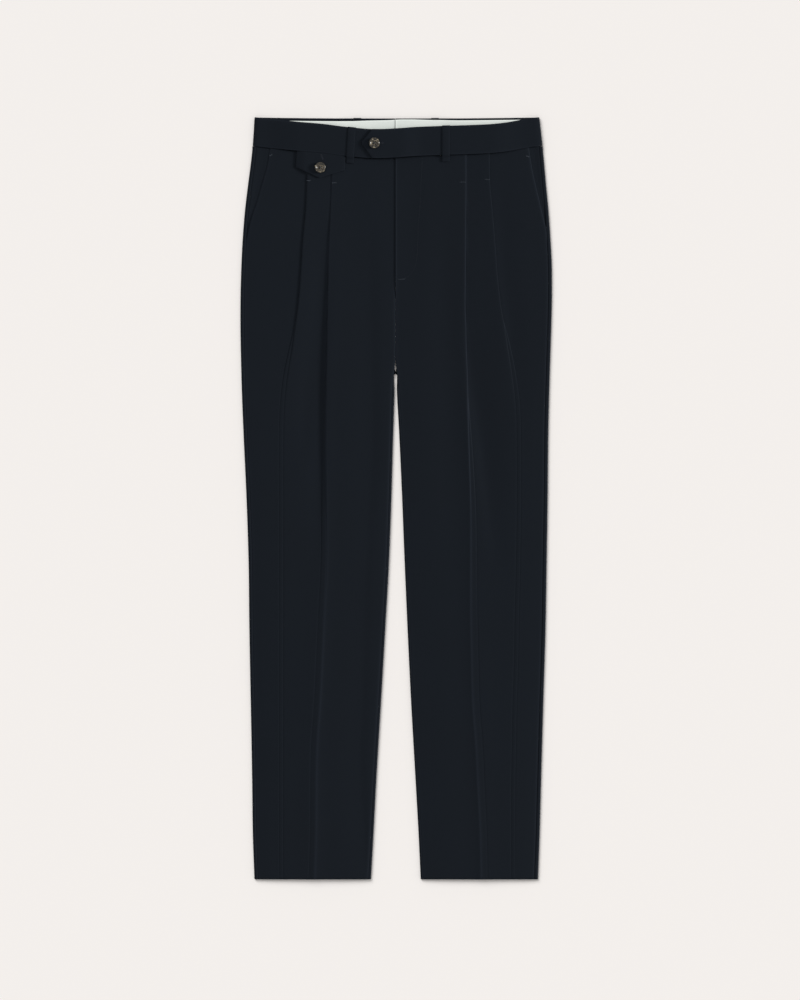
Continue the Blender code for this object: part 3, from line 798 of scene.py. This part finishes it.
def band_points(side):
    """Rows of points along a waistband half from centre back, lower edge first."""
    rows = []
    node = "waistband_right" if side < 0 else "waistband_left"
    radius = (BAND_SIDE_LEVEL - BAND_BACK_LEVEL) / 2
    for share in BAND_SHARES:
        base = LENGTH - BAND_DEPTH * (1 - share)
        lowest, highest = node_edges(node, [base - 0.5])[0]
        turn = float(-lowest if side < 0 else highest) - BAND_WALL / 2 - radius
        row = []
        for spread in np.linspace(middle[side] + SEAM_GAP / 2, turn, 26):
            row.append((spread, BAND_BACK_LEVEL + float(over_loops(spread, LENGTH)), 0.0))
        for degrees in range(-70, 91, 20):
            angle = math.radians(degrees)
            z = BAND_BACK_LEVEL + radius * (1 + math.sin(angle))
            row.append((turn + radius * math.cos(angle), z, float(degrees > 0)))
        finish = -FLY_LAP
        if side > 0:
            finish = TAB_SHOULDER - (TAB_SHOULDER - TAB_TIP) * (1 - abs(2 * share - 1))
        for spread in np.linspace(turn, finish, 70)[1:]:
            x = side * spread
            z = float(band_front_level(x))
            if side > 0:
                z += TAB_LIFT * float(1 - ease(x, TAB_RISE_TO, TAB_RISE_FROM))
            row.append((spread, z, 1.0))
        line = []
        for spread, z, on_front in row:
            x = side * spread
            drop = float(front_dip(x)) if on_front else float(back_dip(spread))
            soft = 0.25 * (1 - min(1.0, share / 0.06)) + 0.25 * max(0.0, (share - 0.94) / 0.06)
            line.append((x, LENGTH - drop - BAND_DEPTH * (1 - share), z - soft * (1 if on_front else 0)))
        rows.append(line)
    return np.array(rows)


for word, side in (("right", -1), ("left", 1)):
    points = band_points(side)
    shares = np.broadcast_to(BAND_SHARES[:, None], points.shape[:2])
    # Painted sheen along the waistband's folded top edge and its lower seam.
    painted_sheen = 0.4 * np.exp(-((1 - shares) / 0.03) ** 2) + 0.3 * np.exp(-(shares / 0.03) ** 2)
    band = cloth(
        f"waistband_{word}_cloth", points, BAND_WALL, navy_wool, f"waistband_{word}", painted_sheen, rim=0.35)

# ---------------------------------------------------------------------------------------
# Waistband lining: a strip of off-white cotton sewn inside the back waistband. It is joined
# at the centre back and starts just below the folded wool at the top edge.
# ---------------------------------------------------------------------------------------
LINING_COLOUR = (0.75, 0.79, 0.75, 1.0)
LINING_SHADE = (0.66, 0.70, 0.665, 1.0)
LINING_WALL = 0.7

# How far the lining starts below the top edge: x, inset
LINING_INSET = (
    (-196.0, 4.2),
    (-62.0, 4.1),
    (-40.0, 3.2),
    (-10.0, 2.5),
    (5.0, 1.5),
    (25.0, 1.5),
    (50.0, 2.3),
    (90.0, 2.9),
    (198.0, 3.0),
)


def lining_cotton():
    """Plain off-white cotton with a fine square weave."""
    material, link, add, shader = new_material("lining_cotton")
    weave = add("ShaderNodeUVMap", uv_map="weave").outputs["UV"]
    drift = add("ShaderNodeTexNoise", Scale=26.0, Detail=4.0)
    link(weave, drift.inputs["Vector"])
    tone = add("ShaderNodeMix", data_type="RGBA")
    tone.inputs["A"].default_value = LINING_SHADE
    tone.inputs["B"].default_value = LINING_COLOUR
    link(drift.outputs["Fac"], tone.inputs["Factor"])
    link(tone.outputs["Result"], shader.inputs["Base Color"])
    relief = add("ShaderNodeMath", operation="ADD")
    link(bands(add, link, weave, 0.0004, 0.0, 0.3), relief.inputs[0])
    link(bands(add, link, weave, 0.0004, 90.0, 0.3), relief.inputs[1])
    bump = add("ShaderNodeBump", Strength=0.3, Distance=0.00006)
    link(relief.outputs[0], bump.inputs["Height"])
    link(bump.outputs["Normal"], shader.inputs["Normal"])
    shader.inputs["Roughness"].default_value = 0.8
    shader.inputs["Sheen Weight"].default_value = 0.1
    return material


cotton = lining_cotton()


def lining_points(side):
    """Rows of points for the lining of a back waistband half, lower edge first."""
    end = float(side_spread(side, 1030.0)) - 8.0
    spread = np.linspace(middle[side] + SEAM_GAP / 2, end, 80)
    x = side * spread
    inset = np.interp(x, [row[0] for row in LINING_INSET], [row[1] for row in LINING_INSET])
    level = BAND_BACK_LEVEL + over_loops(spread, LENGTH) + BAND_WALL / 2 + 0.25 + LINING_WALL / 2
    seam = 0.25 * np.exp(-((spread - spread[0]) / 1.2) ** 2)
    rows = []
    for share in (0.0, 0.05, 0.3, 0.55, 0.8, 0.95, 1.0):
        height = LENGTH - back_dip(spread) - 38.0 + share * (38.0 - inset)
        tuck = 0.3 * max(0.0, (share - 0.9) / 0.1)
        rows.append(np.stack([x, height, level - seam - tuck], axis=1))
    return np.array(rows)


for word, side in (("right", -1), ("left", 1)):
    points = lining_points(side)
    lining = cloth(f"waistband_lining_{word}_cloth", points, LINING_WALL, cotton, f"waistband_lining_{word}")
    garment_lit.objects.unlink(lining)
    table_lit.objects.link(lining)

# ---------------------------------------------------------------------------------------
# Belt loops: doubled strips of wool 12 mm wide with turned edges. Each goes over the top edge
# of the waistband and is tacked inside it and about 10 mm below the waist seam.
# ---------------------------------------------------------------------------------------
LOOP_WIDTH = 12.0
LOOP_WALL = 0.9
LOOP_FOOT_BELOW_SEAM = 9.5


def front_edge(x):
    """Height of the front waistband's top edge."""
    return LENGTH - front_dip(x)


def back_edge(x):
    """Height of the back waistband's top edge."""
    return LENGTH - back_dip(abs(x))


def loop_points(top_x, foot_x, edge, foot_level, over_level, inside_level, inside_length):
    """Rows of points along a belt loop, from its foot up over the waistband's edge and inside."""
    middle_level = (over_level + inside_level) / 2
    reach = (over_level - inside_level) / 2
    path = [("seam", rise, foot_level) for rise in (-LOOP_FOOT_BELOW_SEAM, -9.2, -6.0, -3.4)]
    path += [("seam", -2.2, 0.5 * (foot_level + over_level)), ("seam", -0.9, over_level)]
    path += [("seam", rise, over_level) for rise in (1.5, 8.0, 16.0, 24.0, 32.0)]
    for degrees in range(90, -91, -15):
        angle = math.radians(degrees)
        path.append(("top", 0.45 * math.cos(angle), middle_level + reach * math.sin(angle)))
    path.append(("top", -inside_length, inside_level))
    rows = []
    for start, rise, z in path:
        row = []
        for share_across in (-1.0, -0.97, -0.87, -0.76, -0.4, 0.0, 0.4, 0.76, 0.87, 0.97, 1.0):
            offset = share_across * (LOOP_WIDTH - LOOP_WALL) / 2
            top = float(edge(top_x + offset))
            seam = float(edge(foot_x + offset)) - BAND_DEPTH
            height = (seam if start == "seam" else top) + rise
            share = min(1.0, max(0.0, (height - seam) / (top - seam)))
            roll = 0.12 * float(ease(abs(share_across), 0.75, 1.0))
            row.append((foot_x + share * (top_x - foot_x) + offset, height, z - roll))
        rows.append(row)
    return np.array(rows)


over_band = BAND_LEVEL + BAND_WALL / 2 + 0.3 + LOOP_WALL / 2
under_band = BAND_LEVEL - BAND_WALL / 2 - 0.3 - LOOP_WALL / 2
on_front = CREST + 1.2
inside_back = BAND_BACK_LEVEL + LOOP_LIFT + BAND_WALL / 2 + 0.25 + LOOP_WALL / 2
front_levels = (on_front, over_band, under_band, 5.0)
back_levels = (0.6, 0.6, inside_back, 1.4)

# Each belt loop: name, x at the top edge, x at the foot, edge it goes over, its levels, its band
LOOPS = (
    ("belt_loop_front_right", -62.5, -65.0, front_edge, front_levels, "waistband_right_cloth"),
    ("belt_loop_front_left", 70.6, 70.5, front_edge, front_levels, "waistband_left_cloth"),
    ("belt_loop_back_right", -55.1, -55.1, back_edge, back_levels, "waistband_right_cloth"),
    ("belt_loop_back_left", 55.1, 55.1, back_edge, back_levels, "waistband_left_cloth"),
)
for name, top_x, foot_x, edge, levels, band_name in LOOPS:
    points = loop_points(top_x, foot_x, edge, *levels)
    loop = cloth(f"{name}_cloth", points, LOOP_WALL, navy_wool, name, rim=0.25)

# ---------------------------------------------------------------------------------------
# Coin pocket flap: a doubled, pointed flap of wool let into the waist seam over the right
# pleats, with its edges turned and pressed, buttoned through its point.
# ---------------------------------------------------------------------------------------
FLAP_SEAM_XS = (-140.8, -71.7)
FLAP_CORNERS = ((-142.3, 1009.0), (-108.8, 993.9), (-72.9, 1004.5))
FLAP_WALL = 1.1
FLAP_LEVEL = CREST + 1.4


def flap_points():
    """Rows of points for the flap, lower edge first."""
    start, finish = FLAP_SEAM_XS
    corner_xs = [x for x, _ in FLAP_CORNERS]
    corner_heights = [height for _, height in FLAP_CORNERS]
    rows = []
    shares = np.concatenate(
        [[0.0, 0.015], np.linspace(0.05, 0.48, 14), np.linspace(0.5, 0.95, 14), [0.985, 1.0]])
    for down in np.concatenate([[1.0, 0.97], np.linspace(0.92, 0.08, 14), [0.0]]):
        row = []
        for share in shares:
            top_x = start + share * (finish - start)
            tip_share = 0.485
            low_x = float(np.interp(share, [0.0, tip_share, 1.0], corner_xs))
            low = float(np.interp(low_x, corner_xs, corner_heights))
            x = top_x + down * (low_x - top_x)
            top = float(front_edge(top_x)) - BAND_DEPTH - 0.3
            height = top + down * (low - top)
            edge = max(1 - min(share, 1 - share) / 0.03, (down - 0.95) / 0.05, 0.0)
            z = FLAP_LEVEL - 1.3 * float(ease(-x, 129.0, 145.0)) - 0.15 * edge
            row.append((x, height, z))
        rows.append(row)
    return np.array(rows)


points = flap_points()
flap = cloth("coin_pocket_flap_cloth", points, FLAP_WALL, navy_wool, "coin_pocket_flap", rim=0.3)

# ---------------------------------------------------------------------------------------
# Buttons: two turned 15 mm four-hole buttons of horn, marbled in brown and cream, with a
# raised rim round a shallow dish, sewn on with dark thread crossed through the holes.
# ---------------------------------------------------------------------------------------
HORN_DARK = (0.012, 0.011, 0.009, 1.0)
HORN_BROWN = (0.070, 0.055, 0.034, 1.0)
HORN_CREAM = (0.50, 0.43, 0.30, 1.0)
HOLE_RADIUS = 0.85
HOLE_SPREAD = 1.9
BUTTON_PROFILE = (
    (0.0, 1.75), (3.6, 1.72), (4.5, 1.85), (5.0, 2.25), (5.5, 2.75), (6.1, 2.98), (6.7, 2.9),
    (7.2, 2.6), (7.52, 2.15), (7.6, 1.7), (7.4, 1.2), (6.6, 0.55), (5.4, 0.15), (4.0, 0.0), (0.0, 0.0),
)


def horn(name, seed):
    """Polished horn with cloudy marbling that differs from button to button."""
    material, link, add, shader = new_material(name)
    place = add("ShaderNodeTexCoord").outputs["Object"]
    shift = add("ShaderNodeMapping")
    shift.inputs["Location"].default_value = (seed, 0.37 * seed, 0.0)
    link(place, shift.inputs["Vector"])
    cloud = add("ShaderNodeTexNoise", Scale=230.0, Detail=5.0, Roughness=0.55, Distortion=1.6)
    link(shift.outputs["Vector"], cloud.inputs["Vector"])
    ramp = add("ShaderNodeValToRGB")
    stops = ramp.color_ramp.elements
    stops[0].position = 0.44
    stops[0].color = HORN_DARK
    stops[1].position = 0.68
    stops[1].color = HORN_CREAM
    brown = stops.new(0.55)
    brown.color = HORN_BROWN
    link(cloud.outputs["Fac"], ramp.inputs["Fac"])
    link(ramp.outputs["Color"], shader.inputs["Base Color"])
    fibre = add("ShaderNodeTexNoise", Scale=900.0, Detail=3.0)
    link(shift.outputs["Vector"], fibre.inputs["Vector"])
    polish = add("ShaderNodeMapRange")
    polish.inputs["To Min"].default_value = 0.2
    polish.inputs["To Max"].default_value = 0.42
    link(fibre.outputs["Fac"], polish.inputs["Value"])
    link(polish.outputs["Result"], shader.inputs["Roughness"])
    bump = add("ShaderNodeBump", Strength=0.12, Distance=0.0001)
    link(fibre.outputs["Fac"], bump.inputs["Height"])
    link(bump.outputs["Normal"], shader.inputs["Normal"])
    shader.inputs["Coat Weight"].default_value = 0.4
    shader.inputs["Coat Roughness"].default_value = 0.15
    return material


def turned_button(name, seed):
    """A button turned from its profile, with four holes bored through it."""
    low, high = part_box(name)
    centre = (low + high) / 2
    outline = bmesh.new()
    verts = [outline.verts.new((radius * MM, 0.0, z * MM)) for radius, z in BUTTON_PROFILE]
    for first, second in zip(verts, verts[1:]):
        outline.edges.new((first, second))
    mesh = bpy.data.meshes.new(f"{name}_horn")
    outline.to_mesh(mesh)
    outline.free()
    piece = bpy.data.objects.new(f"{name}_horn", mesh)
    bpy.context.scene.collection.objects.link(piece)
    piece.location = (centre.x, centre.y, low.z)
    turn = piece.modifiers.new("turn", "SCREW")
    turn.steps = 64
    turn.render_steps = 64
    turn.use_merge_vertices = True
    turn.merge_threshold = 0.00001
    drill = bmesh.new()
    for corner in range(4):
        angle = math.radians(45 + 90 * corner)
        bore_radius = HOLE_RADIUS * MM
        made = bmesh.ops.create_cone(
            drill, cap_ends=True, segments=20, radius1=bore_radius, radius2=bore_radius, depth=8 * MM)
        offset = Vector((HOLE_SPREAD * math.cos(angle) * MM, HOLE_SPREAD * math.sin(angle) * MM, 1.5 * MM))
        bmesh.ops.translate(drill, verts=made["verts"], vec=offset)
    drill_mesh = bpy.data.meshes.new("drill")
    drill.to_mesh(drill_mesh)
    drill.free()
    drill_piece = bpy.data.objects.new("drill", drill_mesh)
    drill_piece.location = piece.location
    bpy.context.scene.collection.objects.link(drill_piece)
    bore = piece.modifiers.new("holes", "BOOLEAN")
    bore.operation = "DIFFERENCE"
    bore.solver = "EXACT"
    bore.object = drill_piece
    finished = bpy.data.meshes.new_from_object(piece.evaluated_get(bpy.context.evaluated_depsgraph_get()))
    piece.modifiers.clear()
    piece.data = finished
    bpy.data.objects.remove(drill_piece)
    finished.materials.clear()
    finished.materials.append(horn(f"horn_{name}", seed))
    for face in finished.polygons:
        face.use_smooth = True
    finished.set_sharp_from_angle(angle=math.radians(40))
    garment_lit.objects.link(piece)
    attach(piece, "root")
    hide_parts(name)
    return piece


buttons = {
    "waistband_button": turned_button("waistband_button", 0.31),
    "coin_flap_button": turned_button("coin_flap_button", 0.77),
}

# ---------------------------------------------------------------------------------------
# Thread: dark navy polyester, with a paler thread on the tacks as a painted highlight for the
# glint of their close stitches. It crosses the buttons' holes, edges the buttonholes, tacks the
# pockets, pleats and fly, and runs down the fly in small stitches that curve in to its foot.
# ---------------------------------------------------------------------------------------
THREAD_DARK = (0.020, 0.026, 0.040, 1.0)
# Paler tack thread: a painted highlight for the glint on the tacks.
THREAD_TACK_GLINT = (0.10, 0.12, 0.15, 1.0)
THREAD_RADIUS = 0.16


def thread_material(name, colour):
    """Twisted thread with a slight gloss."""
    material, link, add, shader = new_material(name)
    place = add("ShaderNodeTexCoord").outputs["Object"]
    fuzz = add("ShaderNodeTexNoise", Scale=2600.0, Detail=2.0)
    link(place, fuzz.inputs["Vector"])
    tone = add("ShaderNodeMix", data_type="RGBA")
    tone.inputs["A"].default_value = [0.7 * value for value in colour[:3]] + [1.0]
    tone.inputs["B"].default_value = [1.35 * value for value in colour[:3]] + [1.0]
    link(fuzz.outputs["Fac"], tone.inputs["Factor"])
    link(tone.outputs["Result"], shader.inputs["Base Color"])
    bump = add("ShaderNodeBump", Strength=0.3, Distance=0.00005)
    link(fuzz.outputs["Fac"], bump.inputs["Height"])
    link(bump.outputs["Normal"], shader.inputs["Normal"])
    shader.inputs["Roughness"].default_value = 0.55
    return material


dark_thread = thread_material("dark_thread", THREAD_DARK)
tack_glint_thread = thread_material("tack_glint_thread", THREAD_TACK_GLINT)


def stitches(name, runs, material, radius=THREAD_RADIUS):
    """Many small stitches as one mesh. Each is a start and a finish on the cloth, in mm."""
    ring = 6
    arch = ((0.0, -0.5, 0.25), (0.12, 0.35, 0.8), (0.5, 0.8, 1.0), (0.88, 0.35, 0.8), (1.0, -0.5, 0.25))
    form = bmesh.new()
    for start, finish in runs:
        start, finish = Vector(start), Vector(finish)
        way = finish - start
        flat_side = Vector((-way.y, way.x, 0.0)).normalized()
        loops = []
        for share, rise, swell in arch:
            centre = start + share * way + Vector((0.0, 0.0, rise * radius))
            loop = []
            for index in range(ring):
                angle = math.tau * index / ring
                lift = Vector((0.0, 0.0, math.sin(angle) * radius * swell))
                corner = centre + flat_side * (math.cos(angle) * radius * swell) + lift
                loop.append(form.verts.new((corner.x * MM, HEM_Y + corner.y * MM, corner.z * MM)))
            loops.append(loop)
        for lower, upper in zip(loops, loops[1:]):
            for index in range(ring):
                after = (index + 1) % ring
                form.faces.new((lower[index], lower[after], upper[after], upper[index]))
        form.faces.new(loops[0][::-1])
        form.faces.new(loops[-1])
    bmesh.ops.recalc_face_normals(form, faces=form.faces)
    for face in form.faces:
        face.smooth = True
    mesh = bpy.data.meshes.new(name)
    form.to_mesh(mesh)
    form.free()
    mesh.materials.append(material)
    piece = bpy.data.objects.new(name, mesh)
    bpy.context.scene.collection.objects.link(piece)
    garment_lit.objects.link(piece)
    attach(piece, "root")
    return piece


class Ground:
    """Finds the top of the cloth under a place, from the finished pieces."""

    def __init__(self, names):
        graph = bpy.context.evaluated_depsgraph_get()
        self.pieces = [bpy.data.objects[name].evaluated_get(graph) for name in names]

    def top(self, x, height):
        best = None
        start = Vector((x * MM, HEM_Y + height * MM, 0.05))
        for piece in self.pieces:
            hit, place, _, _ = piece.ray_cast(start, Vector((0.0, 0.0, -1.0)))
            if hit and (best is None or place.z > best):
                best = place.z
        return 4.0 if best is None else best / MM


bpy.context.view_layer.update()
ground = Ground([f"{name}_cloth" for name in (
    "front_right", "front_left", "waistband_right", "waistband_left", "hip_facing_right",
    "hip_facing_left", "back_right", "back_left", "belt_loop_front_right", "belt_loop_front_left",
    "coin_pocket_flap")])


def on_cloth(x, height, lift=0.02):
    """A point on top of the cloth."""
    return (x, height, ground.top(x, height) + lift)


def along(path, length, gap):
    """Stitches of one length along a path of (x, height) points, with a gap between them."""
    places = np.array(path, float)
    steps = np.linalg.norm(np.diff(places, axis=0), axis=1)
    total = np.concatenate([[0.0], np.cumsum(steps)])
    made = []
    at = 0.0
    while at + length < total[-1]:
        ends = [[np.interp(where, total, places[:, axis]) for axis in (0, 1)] for where in (at, at + length)]
        made.append((on_cloth(*ends[0]), on_cloth(*ends[1])))
        at += length + gap
    return made


def tack(x, height, length, turn, count=7):
    """A bar tack: close stitches side by side across a short bar."""
    angle = math.radians(turn)
    way = (math.cos(angle), math.sin(angle))
    made = []
    for index in range(count):
        offset = (index / (count - 1) - 0.5) * length
        centre = (x + way[0] * offset, height + way[1] * offset)
        ends = [(centre[0] - way[1] * 0.6 * end, centre[1] + way[0] * 0.6 * end) for end in (-1, 1)]
        made.append((on_cloth(*ends[0]), on_cloth(*ends[1])))
    return made


def buttonhole(x, height, length, turn):
    """Close stitches all round a slit."""
    angle = math.radians(turn)
    way = (math.cos(angle), math.sin(angle))
    made = []
    for index in range(int(length / 0.45)):
        offset = -length / 2 + 0.45 * (index + 0.5)
        centre = (x + way[0] * offset, height + way[1] * offset)
        for end in (-1, 1):
            near = (centre[0] - way[1] * 0.15 * end, centre[1] + way[0] * 0.15 * end)
            far = (centre[0] - way[1] * 1.1 * end, centre[1] + way[0] * 1.1 * end)
            made.append((on_cloth(*near), on_cloth(*far)))
    return made


# The fly's J-shaped stitching on the left front: x, height
FLY_STITCH = (
    (37.0, 1022.0), (36.0, 1000.0), (34.0, 960.0), (31.5, 930.0), (30.5, 900.0), (30.0, 884.0),
    (28.0, 872.0), (24.0, 862.0), (18.0, 855.0), (12.0, 851.5), (5.0, 850.0),
)
stitches("fly_stitching", along(FLY_STITCH, 1.6, 2.2), dark_thread, 0.13)

tacks = tack(8.0, 850.3, 8.4, 6.0)
tacks += tack(-177.2, 1026.4, 4.0, 20.0) + tack(186.6, 1024.5, 4.0, -20.0)
tacks += tack(-124.0, 990.0, 4.4, 0.0) + tack(-87.4, 987.0, 5.2, 0.0)
tacks += tack(94.6, 988.0, 8.0, 0.0) + tack(129.0, 991.6, 6.0, 0.0)
# The tacks take the paler thread, a painted highlight.
stitches("bar_tacks", tacks, tack_glint_thread, 0.14)

holes = buttonhole(-21.5, 1042.7, 8.0, 0.0) + buttonhole(-105.2, 1023.4, 8.6, 110.6)
stitches("buttonholes", holes, dark_thread, 0.1)

crossings = []
for name, piece in buttons.items():
    low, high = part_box(name)
    centre = (low + high) / 2 / MM
    level = low.z / MM + 1.75
    for corner in range(2):
        angle = math.radians(45 + 90 * corner)
        for shift in (-0.28, 0.0, 0.28):
            offset = (HOLE_SPREAD * math.cos(angle), HOLE_SPREAD * math.sin(angle))
            aside = (-shift * math.sin(angle), shift * math.cos(angle))
            ends = []
            for end in (-1, 1):
                x = centre.x + end * offset[0] + aside[0]
                height = centre.y - HEM_Y / MM + end * offset[1] + aside[1]
                ends.append((x, height, level + 0.1 + 0.15 * corner))
            crossings.append(tuple(ends))
stitches("button_thread", crossings, dark_thread, 0.2)
